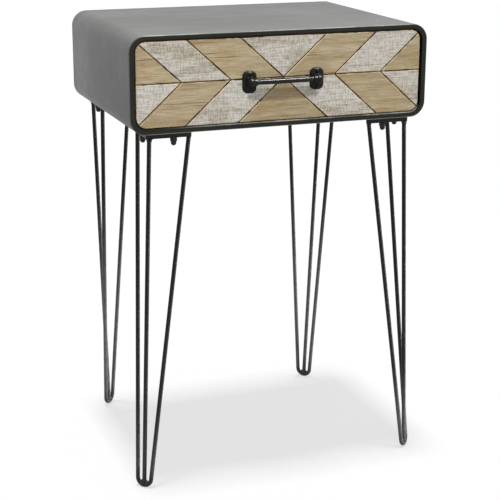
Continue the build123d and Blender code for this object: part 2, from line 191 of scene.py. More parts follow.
class TableStage(bpy.types.PropertyGroup):
    """Camera, lamps and floor."""

    lens: FloatProperty(name="Lens", description="Focal length in millimetres", default=98.22, min=1.0)
    camera_place: position("Camera place", "Where the camera stands", (-0.72042, -1.93434, 0.90958))
    camera_turn: angle("Camera turn", "Turn to the right from looking straight back", 20.7514)
    camera_tilt: angle("Camera tilt", "Tilt down from level", 16.4624)
    camera_roll: angle("Camera roll", "Roll about the line of sight", 0.2377)
    sky: amount("Sky", "Light from all round", 0.38)
    top_lamp: amount("Top lamp", "Light from straight above", 0.86)
    top_spread: angle("Top spread", "How wide the top lamp looks", 8.0)
    front_lamp: amount("Front lamp", "Light from the front", 1.97)
    front_spread: angle("Front spread", "How wide the front lamp looks", 6.0)
    front_turn: angle("Front turn", "How far the front lamp stands to the right", -12.0)
    front_height: angle("Front height", "How high the front lamp stands", 61.0)
    handle_lamp: amount("Handle lamp", "Glint on the black handle", 11.0)
    handle_spread: angle("Handle lamp spread", "How wide the handle's lamp looks", 26.0)
    handle_turn: angle("Handle lamp turn", "How far the handle's lamp stands to the right", 42.5)
    handle_height: angle("Handle lamp height", "How high the handle's lamp stands", 56.5)
    leg_lamp: amount("Leg lamp", "Stripe of light on the rods", 2.0)
    leg_spread: angle("Leg lamp spread", "How wide the legs' lamp looks", 14.0)
    leg_turn: angle("Leg lamp turn", "How far the legs' lamp stands to the right", 64.0)
    leg_height: angle("Leg lamp height", "How high the legs' lamp stands", -14.0)
    floor_lamp: amount("Floor lamp", "Light on the floor alone", 1.0)
    floor_lamp_place: position("Floor lamp place", "Where the floor's lamp hangs", (-2.25, 0.0, 60.0))
    floor_lamp_wide: length("Floor lamp wide", "Size of the floor's lamp from left to right", 5.4)
    floor_lamp_deep: length("Floor lamp deep", "Size of the floor's lamp from front to back", 9.6)
    floor_reach: length("Floor reach", "Half the floor's width", 12.0)
    floor_shade: amount("Floor shade", "Share of light that the floor returns", 0.7)
    floor_lift: amount("Floor lift", "White added where the floor is seen", 0.54)


# Shapes


def sized_box(bm, low, high):
    """Box between two opposite corners."""
    low, high = Vector(low), Vector(high)
    place = Matrix.LocRotScale((low + high) / 2, None, high - low)
    return bmesh.ops.create_cube(bm, size=1.0, matrix=place)["verts"]


def points_of(items):
    """Points among the items that a shape operator gives."""
    return [item for item in items if isinstance(item, bmesh.types.BMVert)]


def edges_of(items):
    """Edges among the items that a shape operator gives."""
    return [item for item in items if isinstance(item, bmesh.types.BMEdge)]


def points_at(edges):
    """Points at the ends of these edges."""
    return list({vert for edge in edges for vert in edge.verts})


def edges_at(verts):
    """Edges that meet these points."""
    return {edge for vert in verts for edge in vert.link_edges}


def edges_along(verts, axis):
    """Edges of these points that run along one axis."""
    edges = edges_at(verts)
    runs = {edge: edge.verts[0].co - edge.verts[1].co for edge in edges}
    return [edge for edge in edges if abs(runs[edge].normalized().dot(axis)) > 0.999]


def round_edges(bm, edges, width, segments):
    """Round these edges with a circular bevel."""
    bmesh.ops.bevel(
        bm,
        geom=list(edges),
        offset=width,
        offset_type="OFFSET",
        segments=segments,
        profile=0.5,
        affect="EDGES",
        clamp_overlap=False,
        material=-1,
    )


def open_edges(bm):
    """Edges with a face on one side alone."""
    return [edge for edge in bm.edges if edge.is_boundary]


def turn_out(bm):
    """Turn every face of a shape outwards."""
    bmesh.ops.recalc_face_normals(bm, faces=bm.faces)


def close_up(bm):
    """Fill every open end of a shape and turn its faces outwards."""
    bmesh.ops.holes_fill(bm, edges=open_edges(bm))
    turn_out(bm)


def slice_through(bm, point, direction, **options):
    """Cut a whole shape along a plane."""
    everything = bm.verts[:] + bm.edges[:] + bm.faces[:]
    bmesh.ops.bisect_plane(bm, geom=everything, plane_co=point, plane_no=direction, **options)


def face_towards(bm, direction):
    """Largest face that looks in one direction."""
    bm.normal_update()
    return max((f for f in bm.faces if f.normal.dot(direction) > 0.99), key=lambda f: f.calc_area())


def sharp_edges(bm, degrees=40.0):
    """Edges where two faces meet at more than this angle."""
    limit = math.radians(degrees)
    return [edge for edge in bm.edges if edge.is_manifold and edge.calc_face_angle(0.0) > limit]


def cad_copy(node):
    """Merged copy of a node of the frame, with its flat faces made whole."""
    bm = bmesh.new()
    bm.from_mesh(frame["nodes"][node].data)
    bmesh.ops.remove_doubles(bm, verts=bm.verts, dist=1e-6)
    bmesh.ops.dissolve_limit(bm, angle_limit=math.radians(0.5), verts=bm.verts, edges=bm.edges)
    return bm


def eased_copy(node, width):
    """Copy of a node of the frame with its sharp edges eased."""
    bm = cad_copy(node)
    round_edges(bm, sharp_edges(bm), width, 2)
    return bm


def solid_centres(node):
    """Middle of each separate solid of a node of the frame."""
    bm = cad_copy(node)
    left = set(bm.verts)
    centres = []
    while left:
        found = [left.pop()]
        for vert in found:
            near = {edge.other_vert(vert) for edge in vert.link_edges} & left
            left -= near
            found += near
        low = [min(vert.co[i] for vert in found) for i in range(3)]
        high = [max(vert.co[i] for vert in found) for i in range(3)]
        centres.append((Vector(low) + Vector(high)) / 2)
    bm.free()
    return sorted(centres, key=lambda centre: tuple(round(value, 4) for value in centre))


def scattered(one, places):
    """Copies of one small shape at every place, in one mesh."""
    mesh = bpy.data.meshes.new("one")
    one.to_mesh(mesh)
    one.free()
    bm = bmesh.new()
    for place in places:
        before = len(bm.verts)
        bm.from_mesh(mesh)
        bm.verts.ensure_lookup_table()
        bmesh.ops.transform(bm, matrix=place, verts=bm.verts[before:])
    bpy.data.meshes.remove(mesh)
    return bm


def facing(place, direction):
    """Matrix that puts a shape's own Z along a direction at a place."""
    return Matrix.Translation(place) @ Vector(direction).to_track_quat("Z", "Y").to_matrix().to_4x4()


def placed(name, bm):
    """Object in the scene that holds a shape."""
    mesh = bpy.data.meshes.new(name)
    bm.to_mesh(mesh)
    bm.free()
    holder = bpy.data.objects.new(name, mesh)
    bpy.context.scene.collection.objects.link(holder)
    return holder


def take_away(holder):
    """Take an object and its mesh away again."""
    mesh = holder.data
    bpy.data.objects.remove(holder)
    bpy.data.meshes.remove(mesh)


def finished(bm, change):
    """What is left of a shape after its modifiers, which change adds to its object."""
    rough = placed("rough", bm)
    change(rough)
    graph = bpy.context.evaluated_depsgraph_get()
    made = bmesh.new()
    made.from_mesh(rough.evaluated_get(graph).to_mesh())
    take_away(rough)
    return made


def carved(bm, cutter):
    """Shape with a cutter taken out of it."""
    tool = placed("cutter", cutter)

    def cut(rough):
        modifier = rough.modifiers.new("cut", "BOOLEAN")
        modifier.operation = "DIFFERENCE"
        modifier.solver = "EXACT"
        modifier.use_self = True
        modifier.object = tool

    made = finished(bm, cut)
    take_away(tool)
    return made


def cast(bm, voxel):
    """Shells fused into one casting with soft inner corners."""

    def fuse(rough):
        remesh = rough.modifiers.new("fuse", "REMESH")
        remesh.mode = "VOXEL"
        remesh.voxel_size = voxel
        smooth = rough.modifiers.new("soften", "SMOOTH")
        smooth.factor = 0.5
        smooth.iterations = 8

    return finished(bm, fuse)


def add_piece(name, bm, material, body, slot, *nodes, smooth_angle=USUAL_ANGLE):
    """Finish a shape as a piece that rides on a body and stands for nodes of the frame."""
    piece = placed(name, bm)
    piece.data.shade_smooth()
    piece.data.set_sharp_from_angle(angle=math.radians(smooth_angle))
    piece.data.materials.append(material)
    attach(piece, body)
    if nodes:
        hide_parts(*nodes)
    return piece


# Case


def case_shell_shape(sizes):
    """Sheet wrapped round the case, its back edge folded in."""
    bm = bmesh.new()
    verts = sized_box(bm, *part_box("case_wrap"))
    round_edges(bm, edges_along(verts, Y_AXIS), sizes.case_corner, 16)
    front = face_towards(bm, -Y_AXIS)
    back = face_towards(bm, Y_AXIS)
    fold = list(back.edges)
    bmesh.ops.inset_region(bm, faces=[back], thickness=sizes.rear_flange, use_even_offset=True)
    bmesh.ops.delete(bm, geom=[front, back], context="FACES_ONLY")
    round_edges(bm, fold, sizes.fold, 4)
    turn_out(bm)
    bmesh.ops.solidify(bm, geom=bm.faces[:], thickness=sizes.sheet)
    return bm


def sleeve(bm, low, high, radius):
    """Rounded sleeve along Y, open at both ends; gives the edges of its front and back ends."""
    before = set(bm.faces)
    verts = sized_box(bm, low, high)
    round_edges(bm, edges_along(verts, Y_AXIS), radius, 16)
    bm.normal_update()
    ends = [face for face in bm.faces if face not in before and abs(face.normal.y) > 0.9]
    ends.sort(key=lambda face: face.calc_center_median().y)
    loops = [list(face.edges) for face in ends]
    bmesh.ops.delete(bm, geom=ends, context="FACES_ONLY")
    return loops


def rim_shape(sizes):
    """Formed rim: a face round the opening and a lip that returns into the case."""
    low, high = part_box("front_rim")
    face_back = low.y + sizes.rim_face
    margin = Vector((sizes.rim_side, 0.0, sizes.rim_level))
    lip = margin - Vector((sizes.sheet, 0.0, sizes.sheet))
    bm = bmesh.new()
    camber = Y_AXIS * sizes.rim_camber
    outer = sleeve(bm, low + camber, Vector((high.x, face_back, high.z)), sizes.case_corner)
    inner = sleeve(bm, low + margin, high - margin, sizes.opening_corner)
    shoulder = Vector((low.x, face_back, low.z)) + lip + camber
    behind = sleeve(bm, shoulder, high - lip - camber, sizes.opening_corner + sizes.sheet)
    for first, second in ((outer[0], inner[0]), (outer[1], behind[0]), (behind[1], inner[1])):
        bmesh.ops.bridge_loops(bm, edges=first + second)
    turn_out(bm)
    round_edges(bm, outer[0], sizes.rim_outer_round, 4)
    round_edges(bm, inner[0], sizes.rim_inner_round, 6)
    # band marks the rounded outer edge and deep how far back the inner bend lies; the finish paints
    # highlights on the one and shade on the other
    band, deep = bm.verts.layers.float.new("band"), bm.verts.layers.float.new("deep")
    middle = (low + high) / 2
    straight = (high - low) / 2 - Vector((sizes.case_corner, 0.0, sizes.case_corner))
    for vert in bm.verts:
        out_x = max(0.0, abs(vert.co.x - middle.x) - straight.x)
        out_z = max(0.0, abs(vert.co.z - middle.z) - straight.z)
        from_edge = sizes.case_corner - math.hypot(out_x, out_z)
        vert[band] = 1.0 if from_edge < 0.7 * sizes.rim_outer_round else 0.0
        set_back = min(1.0, (vert.co.y - low.y) / sizes.rim_inner_round)
        vert[deep] = 0.0 if from_edge < sizes.rim_level / 2 else set_back
    return bm


def screw_head(radius, height, slots, slot_width):
    """Domed head on its own Z, with one slot or a cross cut into it."""
    bm = bmesh.new()
    bmesh.ops.create_uvsphere(bm, u_segments=28, v_segments=14, radius=radius)
    bmesh.ops.scale(bm, vec=(1, 1, height / radius), verts=bm.verts)
    slice_through(bm, (0, 0, 0), Z_AXIS, clear_inner=True)
    close_up(bm)
    cutter = bmesh.new()
    reach = radius * (0.62 if slots > 1 else 1.2)
    for turn in range(slots):
        corner = Vector((reach, slot_width / 2, height))
        verts = sized_box(cutter, (-corner.x, -corner.y, height * 0.45), corner)
        bmesh.ops.rotate(cutter, verts=verts, matrix=Matrix.Rotation(turn * math.pi / 2, 3, "Z"))
    return carved(bm, cutter)


# Legs


class LegPlan:
    """Places of one leg's rods, read from the plate above and the bent rod below."""

    def __init__(self, leg, sizes):
        side, end = LEGS[leg]
        low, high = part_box(f"{leg}_bracket")
        half, over = sizes.plate_width / 2, sizes.plate_overhang
        xs = (low.x + over, high.x - half) if side > 0 else (high.x - over, low.x + half)
        ys = (low.y + over, high.y - half) if end > 0 else (high.y - over, low.y + half)
        self.top = low.z
        self.radius = sizes.rod / 2
        self.bend = sizes.foot_bend
        self.corner = Vector((xs[1], ys[1], self.top))
        self.arm_x = Vector((xs[0], ys[1], self.top))
        self.arm_y = Vector((xs[1], ys[0], self.top))
        points = [vert.co for vert in frame["nodes"][f"{leg}_hairpin_rod"].data.vertices]
        floor = min(point.z for point in points)
        lowest = [point for point in points if point.z < floor + 1e-5]
        self.foot = sum(lowest, Vector()) / len(lowest) + Z_AXIS * self.radius
        self.across = (self.arm_x - self.arm_y).normalized()
        lean = (self.arm_x + self.arm_y) / 2 - self.foot
        self.rise = (lean - self.across * lean.dot(self.across)).normalized()
        self.centre = self.foot + self.rise * self.bend
        self.axis = self.across.cross(self.rise)

    def touch(self, top, turn):
        """Where a straight arm from its top meets the bend, and its angle round the bend."""
        away = top - self.centre
        level, height = away.dot(self.across), away.dot(self.rise)
        around = math.atan2(height, level) + turn * math.acos(self.bend / math.hypot(level, height))
        reach = self.across * math.cos(around) + self.rise * math.sin(around)
        return self.centre + reach * self.bend, around


def open_ring(bm, place, direction, radius, sides):
    """Ring of edges across a direction."""
    made = bmesh.ops.create_circle(bm, segments=sides, radius=radius, matrix=facing(place, direction))
    return list(edges_at(made["verts"]))


def run_on(bm, ring, step):
    """Carry a ring of edges on by one step and give the new ring."""
    made = bmesh.ops.extrude_edge_only(bm, edges=ring)["geom"]
    bmesh.ops.translate(bm, vec=step, verts=points_of(made))
    return edges_of(made)


def cut_level(bm, height):
    """Cut off everything above a height and close every open end."""
    slice_through(bm, (0, 0, height), Z_AXIS, clear_outer=True)
    close_up(bm)


def bent_rod_shape(plan, sides):
    """Rod that runs down one arm, round the foot and up the other."""
    first, first_angle = plan.touch(plan.arm_x, -1)
    last, last_angle = plan.touch(plan.arm_y, 1)
    down = (first - plan.arm_x).normalized()
    up = (plan.arm_y - last).normalized()
    start = plan.arm_x - down * 2 * plan.radius
    bm = bmesh.new()
    ring = open_ring(bm, start, down, plan.radius, sides)
    ring = run_on(bm, ring, first - start)
    turn = (first_angle - last_angle) % (2 * math.pi)
    whole_ring = ring + points_at(ring)
    spun = bmesh.ops.spin(bm, geom=whole_ring, cent=plan.centre, axis=plan.axis, angle=-turn, steps=20)
    run_on(bm, edges_of(spun["geom_last"]), plan.arm_y + up * 2 * plan.radius - last)
    bmesh.ops.remove_doubles(bm, verts=bm.verts, dist=1e-6)
    cut_level(bm, plan.top)
    return bm


def straight_rod_shape(plan, sides):
    """Rod from the plate's corner down into the bend."""
    rise = (plan.corner - plan.foot).normalized()
    start = plan.foot + rise * plan.radius
    bm = bmesh.new()
    ring = open_ring(bm, start, rise, plan.radius, sides)
    run_on(bm, ring, plan.corner + rise * 2 * plan.radius - start)
    cut_level(bm, plan.top)
    return bm


def weld_flare(bm, plan, top, inward, reach, drop):
    """Hollow-sided weld that spreads from a rod onto the plate, more to its inner side."""
    down = (plan.foot - top) / (top.z - plan.foot.z)
    steps = 7
    ring = open_ring(bm, top + inward * reach * 0.4, Z_AXIS, plan.radius + reach, 28)
    spread, level = 1.0, 0.0
    for step in range(1, steps + 1):
        turn = step / steps * math.pi / 2
        centre = top + inward * reach * 0.4 * spread + down * drop * level
        next_spread, next_level = 1 - math.sin(turn), 1 - math.cos(turn)
        move = down * drop * (next_level - level) + inward * reach * 0.4 * (next_spread - spread)
        ring = run_on(bm, ring, move)
        verts = points_at(ring)
        ratio = (plan.radius + reach * next_spread) / (plan.radius + reach * spread)
        bmesh.ops.scale(bm, vec=(ratio, ratio, ratio), space=Matrix.Translation(-centre - move), verts=verts)
        for vert in verts:
            away = vert.co - centre - move
            ripple = noise.noise(vert.co * 520) + 0.5 * noise.noise(vert.co * 1300)
            vert.co += away.normalized() * reach * 0.12 * ripple
        spread, level = next_spread, next_level


def weld_shape(plan, sizes):
    """Welds where the three rods meet the plate and where the straight rod meets the bend."""
    bm = bmesh.new()
    bead = sizes.weld
    to_x, to_y = (plan.arm_x - plan.corner).normalized(), (plan.arm_y - plan.corner).normalized()
    weld_flare(bm, plan, plan.corner, (to_x + to_y).normalized(), bead, sizes.weld_drop)
    for top, inward in ((plan.arm_x, -to_x), (plan.arm_y, -to_y)):
        weld_flare(bm, plan, top, inward, bead * 0.35, sizes.weld_drop * 0.6)
    fill = Matrix((plan.across * 1.7 * bead, plan.axis * 0.75 * bead, plan.rise * 1.3 * bead)).transposed()
    place = Matrix.Translation(plan.foot + plan.rise * (plan.radius + 0.6 * bead)) @ fill.to_4x4()
    for vert in bmesh.ops.create_icosphere(bm, subdivisions=4, radius=1.0, matrix=place)["verts"]:
        vert.co += (vert.co - place.translation) * 0.3 * noise.noise(vert.co * 500)
    turn_out(bm)
    return bm


def dome_nut_shape(width, height):
    """Hexagonal nut with a dome below it, hanging from its own origin."""
    flat = height * 0.43
    bm = bmesh.new()
    across_corners = width / math.cos(math.pi / 6)
    hexagon = bmesh.ops.create_cone(
        bm,
        cap_ends=True,
        segments=6,
        radius1=across_corners / 2,
        radius2=across_corners / 2,
        depth=flat,
        matrix=Matrix.Translation((0, 0, -flat / 2)),
    )
    round_edges(bm, edges_at(hexagon["verts"]), width * 0.05, 2)
    dome = width * 0.445
    shoulder = height - flat - dome
    sphere = bmesh.ops.create_uvsphere(bm, u_segments=24, v_segments=16, radius=dome)["verts"]
    lower = [vert for vert in sphere if vert.co.z < 1e-6]
    upper = [vert for vert in sphere if vert.co.z >= 1e-6]
    bmesh.ops.scale(bm, vec=(1, 1, 0), verts=upper)
    bmesh.ops.translate(bm, vec=(0, 0, -flat - shoulder), verts=lower)
    bmesh.ops.translate(bm, vec=(0, 0, -flat), verts=upper)
    return bm


def washer_shape(radius, hole, thickness):
    """Flat ring with eased edges, hanging from its own origin."""
    bm = bmesh.new()
    for size in (radius, hole):
        bmesh.ops.create_circle(bm, segments=32, radius=size)
    bmesh.ops.bridge_loops(bm, edges=bm.edges[:])
    pushed = bmesh.ops.extrude_face_region(bm, geom=bm.faces[:], use_keep_orig=True)["geom"]
    bmesh.ops.translate(bm, vec=(0, 0, -thickness), verts=points_of(pushed))
    turn_out(bm)
    round_edges(bm, sharp_edges(bm), thickness * 0.2, 2)
    return bm


# Drawer


def tile_planes(node):
    """Outline of a tile as (point, outward direction) pairs, one for each straight stretch."""
    bm = cad_copy(node)
    bm.normal_update()
    back = max(vert.co.y for vert in bm.verts)
    rear = [vert.co.copy() for vert in bm.verts if vert.co.y > back - 1e-6]
    planes = []
    for edge in bm.edges:
        if min(vert.co.y for vert in edge.verts) < back - 1e-6:
            continue
        point = edge.verts[0].co.copy()
        for face in edge.link_faces:
            outward = face.normal.copy()
            outside = max((other - point).dot(outward) for other in rear)
            if abs(outward.y) < 0.01 and outside < 1e-6:
                planes.append((point, outward))
    bm.free()
    return planes


def tile_shape(node, sizes, seed):
    """Sawn tile: a fine face cut to the tile's outline, its edges broken and its face scored by the saw."""
    low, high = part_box(node)
    planes = tile_planes(node)
    bm = bmesh.new()
    place = Matrix.LocRotScale(Vector((low.x + high.x, 2 * low.y, low.z + high.z)) / 2, None, high - low)
    upright = Matrix.Rotation(math.pi / 2, 4, "X")
    steps = [max(2, round(size / sizes.tile_pitch)) for size in (high.x - low.x, high.z - low.z)]
    bmesh.ops.create_grid(bm, x_segments=steps[0], y_segments=steps[1], size=0.5, matrix=place @ upright)
    for point, outward in planes:
        for inset, outside in ((0.0, True), (sizes.tile_edge, False)):
            slice_through(bm, point - outward * inset, outward, dist=1e-7, clear_outer=outside)
    bmesh.ops.remove_doubles(bm, verts=bm.verts, dist=2e-5)
    for label in ("edge", "seed", "deep"):
        bm.verts.layers.float.new(label)
    edge, own, deep = (bm.verts.layers.float[label] for label in ("edge", "seed", "deep"))
    for vert in bm.verts:
        depth = min((point - vert.co).dot(outward) for point, outward in planes)
        spot = Vector((vert.co.x + seed, 0.0, vert.co.z))
        vert[edge] = max(0.0, 1.0 - depth / (2.5 * sizes.tile_edge))
        vert[own] = seed
        saw = noise.noise((spot.x * 330, seed, spot.z * 25))
        grain = noise.noise((spot.x * 28, seed * 3, spot.z * 420))
        ragged = 0.55 + 0.9 * abs(noise.noise(spot * 240))
        broken = max(0.0, sizes.tile_edge - depth) * ragged
        vert.co.y += sizes.tile_relief * (0.5 + 0.28 * saw + 0.3 * grain) + broken
    # The sides, marked deep, take painted groove shade in the finish
    for vert in points_of(bmesh.ops.extrude_edge_only(bm, edges=open_edges(bm))["geom"]):
        vert.co.y = high.y
        vert[edge] = vert[deep] = 1.0
    close_up(bm)
    return bm


# Handle


def round_bar(bm, start, end, radius, sides=40):
    """Closed round bar between two points."""
    middle, run = (start + end) / 2, end - start
    place = facing(middle, run)
    made = bmesh.ops.create_cone(
        bm, cap_ends=True, segments=sides, radius1=radius, radius2=radius, depth=run.length, matrix=place
    )
    return made["verts"]


def handle_foot_shape(node, sizes):
    """Cast foot: a rounded plate, a round post with a domed end and a socket, run together."""
    low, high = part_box(node)
    bar_low, bar_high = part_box("handle_bar")
    axis = (bar_low + bar_high) / 2
    bm = bmesh.new()
    verts = sized_box(bm, (low.x, high.y - sizes.foot_plate, low.z), high)
    round_edges(bm, edges_along(verts, Y_AXIS), sizes.foot_corner, 8)
    round_edges(bm, face_towards(bm, -Y_AXIS).edges, sizes.foot_plate * 0.45, 4)
    top = Vector(((low.x + high.x) / 2, axis.y, axis.z))
    round_bar(bm, Vector((top.x, high.y - sizes.foot_plate / 2, top.z)), top, sizes.post)
    bmesh.ops.create_uvsphere(bm, u_segments=32, v_segments=16, radius=sizes.post, matrix=facing(top, X_AXIS))
    inward = -math.copysign(sizes.socket_reach, top.x)
    mouth = round_bar(bm, top, top + X_AXIS * inward, sizes.socket)
    reach = max(abs(vert.co.x - top.x) for vert in mouth)
    lip = [e for e in edges_at(mouth) if min(abs(v.co.x - top.x) for v in e.verts) > reach - 1e-5]
    round_edges(bm, lip, sizes.socket * 0.2, 4)
    return cast(bm, sizes.cast_voxel)


def handle_rail_shape(sizes):
    """Round bar between the two sockets."""
    low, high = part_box("handle_bar")
    middle = (low + high) / 2
    ends = [Vector((across, middle.y, middle.z)) for across in (low.x, high.x)]
    bm = bmesh.new()
    round_bar(bm, *ends, (high.z - low.z) / 2)
    round_edges(bm, sharp_edges(bm, 80.0), sizes.rail_edge, 3)
    return bm


# Shader nodes


class Nodes:
    """Shader nodes of one tree, each added by a short call that gives the socket to go on from."""

    def __init__(self, tree):
        self.tree = tree

    def fill(self, socket, value):
        """Give a socket a value or a link."""
        if isinstance(value, bpy.types.NodeSocket):
            self.tree.links.new(value, socket)
        else:
            socket.default_value = value

    def add(self, kind, sockets=None, **settings):
        """Node with its settings, its sockets filled by name or by number."""
        node = self.tree.nodes.new("ShaderNode" + kind)
        for key, value in settings.items():
            setattr(node, key, value)
        for key, value in (sockets or {}).items():
            self.fill(node.inputs[key], value)
        return node

    def mixed(self, factor, first, second):
        """Colour between two colours."""
        return self.add("Mix", {0: factor, 6: first, 7: second}, data_type="RGBA").outputs[2]

    def ranged(self, value, low, high, to_low=0.0, to_high=1.0):
        """Value moved from one range to another and kept inside it."""
        sockets = {"Value": value, "From Min": low, "From Max": high, "To Min": to_low, "To Max": to_high}
        return self.add("MapRange", sockets, interpolation_type="SMOOTHSTEP").outputs["Result"]

    def maths(self, operation, first, second=0.0):
        """Result of one sum."""
        return self.add("Math", {0: first, 1: second}, operation=operation).outputs[0]

    def times(self, first, second):
        """Product of two values."""
        return self.maths("MULTIPLY", first, second)

    def stretched(self, vector, scale):
        """Coordinates scaled differently along each axis."""
        return self.add("Mapping", {"Vector": vector, "Scale": scale}).outputs["Vector"]

    def clouds(self, vector, scale, detail=4.0, roughness=0.55):
        """Noise between 0 and 1."""
        sockets = {"Vector": vector, "Scale": scale, "Detail": detail, "Roughness": roughness}
        return self.add("TexNoise", sockets).outputs["Fac"]

    def part(self, vector, axis):
        """One part of a vector."""
        return self.add("SeparateXYZ", {"Vector": vector}).outputs[axis]

    def normal(self):
        """Direction in which the surface looks."""
        return self.add("NewGeometry").outputs["Normal"]

    def upward(self):
        """How far the surface looks up."""
        return self.part(self.normal(), "Z")

    def attribute(self, label):
        """Value that a piece carries on its points."""
        return self.add("Attribute", attribute_name=label).outputs["Fac"]

    def shared(self, name, **sockets):
        """Outputs of a shared group, which is made the first time."""
        tree = bpy.data.node_groups.get(name) or SHARED[name](name)
        return self.add("Group", sockets, node_tree=tree).outputs


def new_group(name, inputs, outputs):
    """Empty node group with its sockets; gives its nodes and its inner ends."""
    tree = bpy.data.node_groups.new(name, "ShaderNodeTree")
    for label, default in inputs.items():
        kind = "NodeSocketVector" if isinstance(default, tuple) else "NodeSocketFloat"
        tree.interface.new_socket(label, in_out="INPUT", socket_type=kind).default_value = default
    for label in outputs:
        tree.interface.new_socket(label, in_out="OUTPUT", socket_type="NodeSocketFloat")
    return Nodes(tree), tree.nodes.new("NodeGroupInput").outputs, tree.nodes.new("NodeGroupOutput").inputs


def mottle_group(name):
    """Cloudy patches with finer flecks, for metal that has been handled."""
    nodes, given, result = new_group(name, {"Vector": (0, 0, 0), "Scale": 12.0}, ["Patches", "Flecks"])
    nodes.fill(result["Patches"], nodes.clouds(given["Vector"], given["Scale"], 5.0, 0.6))
    fine = nodes.times(given["Scale"], 28.0)
    nodes.fill(result["Flecks"], nodes.clouds(given["Vector"], fine, 3.0, 0.7))
    return nodes.tree


def edge_wear_group(name):
    """Rubbed edges: the rounded stretches between faces that look along an axis and those beside it."""
    inputs = {"Vector": (0, 0, 0), "Axis": (0, 1, 0), "Breakup": 60.0}
    nodes, given, result = new_group(name, inputs, ["Mask"])
    both = {0: nodes.normal(), 1: given["Axis"]}
    dot = nodes.add("VectorMath", both, operation="DOT_PRODUCT").outputs["Value"]
    along = nodes.maths("ABSOLUTE", dot)
    edge = nodes.ranged(nodes.times(along, nodes.maths("SUBTRACT", 1.0, along)), 0.05, 0.2)
    patchy = nodes.ranged(nodes.clouds(given["Vector"], given["Breakup"], 4.0, 0.65), 0.42, 0.62)
    nodes.fill(result["Mask"], nodes.times(edge, patchy))
    return nodes.tree


def ledge_highlight_group(name):
    """Edges and ledges that look upwards, patchy: the mask of a painted highlight."""
    nodes, given, result = new_group(name, {"Vector": (0, 0, 0), "Breakup": 14.0}, ["Mask"])
    patchy = nodes.ranged(nodes.clouds(given["Vector"], given["Breakup"], 4.0, 0.65), 0.38, 0.62, 0.3, 1.0)
    nodes.fill(result["Mask"], nodes.times(nodes.ranged(nodes.upward(), 0.3, 0.75), patchy))
    return nodes.tree


def sawn_grain_group(name):
    """Grain that runs along X, saw marks across it, dark fibres and larger patches, each from 0 to 1."""
    scales = {
        "Bands": ((4.0, 70.0, 90.0), 0.36, 0.64),
        "Fine": ((45.0, 300.0, 620.0), 0.36, 0.64),
        "Saw": ((480.0, 200.0, 110.0), 0.36, 0.64),
        "Fibres": ((10.0, 200.0, 380.0), 0.58, 0.7),
        "Patches": ((16.0, 30.0, 42.0), 0.36, 0.64),
    }
    nodes, given, result = new_group(name, {"Vector": (0, 0, 0), "Seed": 0.0}, scales)
    shift = nodes.add("CombineXYZ", {axis: nodes.times(given["Seed"], 1.7 + 2.3 * axis) for axis in range(3)})
    spot = nodes.add("VectorMath", {0: given["Vector"], 1: shift.outputs[0]}, operation="ADD").outputs[0]
    for label, (scale, low, high) in scales.items():
        streaks = nodes.clouds(nodes.stretched(spot, scale), 1.0, 3.0)
        nodes.fill(result[label], nodes.ranged(streaks, low, high))
    return nodes.tree


SHARED = {
    "Mottle": mottle_group,
    "Edge wear": edge_wear_group,
    "Rubbed ledges": ledge_highlight_group,
    "Sawn grain": sawn_grain_group,
}


# Finishes


class Finish(Nodes):
    """Material under way: its nodes, its shader, the piece's own coordinates and its colour so far."""

    def __init__(self, name):
        self.material = bpy.data.materials.new(name)
        self.material.use_nodes = True
        super().__init__(self.material.node_tree)
        self.shader = self.tree.nodes["Principled BSDF"]
        self.place = self.add("TexCoord").outputs["Object"]
        self.colour = None

    def tone(self, name, share=1.0):
        """One of the table's colours, made darker or lighter, with alpha."""
        channels = getattr(bpy.context.scene.table_colours, name)
        return tuple(min(1.0, channel * share) for channel in channels) + (1.0,)

    def coat(self, share, over):
        """Lay a colour over the colour so far, by a share or a mask."""
        self.colour = self.mixed(share, self.colour, over)

    def surface(self, sockets, height, distance, strength):
        """Fill the shader's sockets and raise the surface by a height."""
        raised = self.add("Bump", {"Height": height, "Distance": distance, "Strength": strength})
        for key, value in {"Normal": raised.outputs["Normal"], **sockets}.items():
            self.fill(self.shader.inputs[key], value)


def metal(made, tone, roughness, scale, metallic=0.0, streak=None, gloss=0.5, wear=0, ledge=0, relief=0.25):
    """Lacquered or blackened steel: cloudy tone, flecks, optional streaks, rubbed edges and a painted
    highlight on edges and ledges that look upwards.
    """
    mottle = made.shared("Mottle", Vector=made.place, Scale=scale)
    patches, flecks = mottle["Patches"], mottle["Flecks"]
    made.colour = made.mixed(made.ranged(patches, 0.3, 0.7), made.tone(tone, 0.84), made.tone(tone, 1.14))
    made.coat(made.ranged(flecks, 0.6, 0.75, 0.0, 0.35), made.tone(tone, 1.5))
    height = flecks
    if streak:
        lines = made.clouds(made.stretched(made.place, streak), 1.0, 6.0, 0.65)
        broad = made.clouds(made.stretched(made.place, [share / 5 for share in streak]), 1.0, 3.0)
        made.coat(made.ranged(lines, 0.35, 0.65, 0.0, 0.7), made.tone(tone, 0.82))
        made.coat(made.ranged(broad, 0.35, 0.65, 0.0, 0.6), made.tone(tone, 1.2))
        height = made.maths("ADD", flecks, lines)
    if wear:
        mask = made.shared("Edge wear", Vector=made.place, Axis=Y_AXIS, Breakup=22.0)["Mask"]
        made.coat(made.times(mask, wear), made.tone("wear_and_sheen"))
    # Painted highlight where the surface looks upwards
    if ledge:
        mask = made.shared("Rubbed ledges", Vector=made.place)["Mask"]
        made.coat(made.times(mask, ledge), made.tone("wear_and_sheen"))
    rough = made.ranged(patches, 0.25, 0.75, roughness - 0.05, roughness + 0.07)
    plain = {"Metallic": metallic, "Specular IOR Level": gloss}
    made.surface({"Roughness": rough, **plain}, height, 0.0002, relief)


def case_steel(made):
    """Lacquered steel, its top paler towards the front."""
    metal(made, "case", 0.46, 7.0, streak=(9.0, 260.0, 260.0), gloss=0.25, wear=0.4)
    forward = made.ranged(made.part(made.place, "Y"), -0.02, -0.165)
    made.coat(made.times(forward, made.ranged(made.upward(), 0.5, 0.9, 0.0, 0.85)), made.tone("case", 1.4))


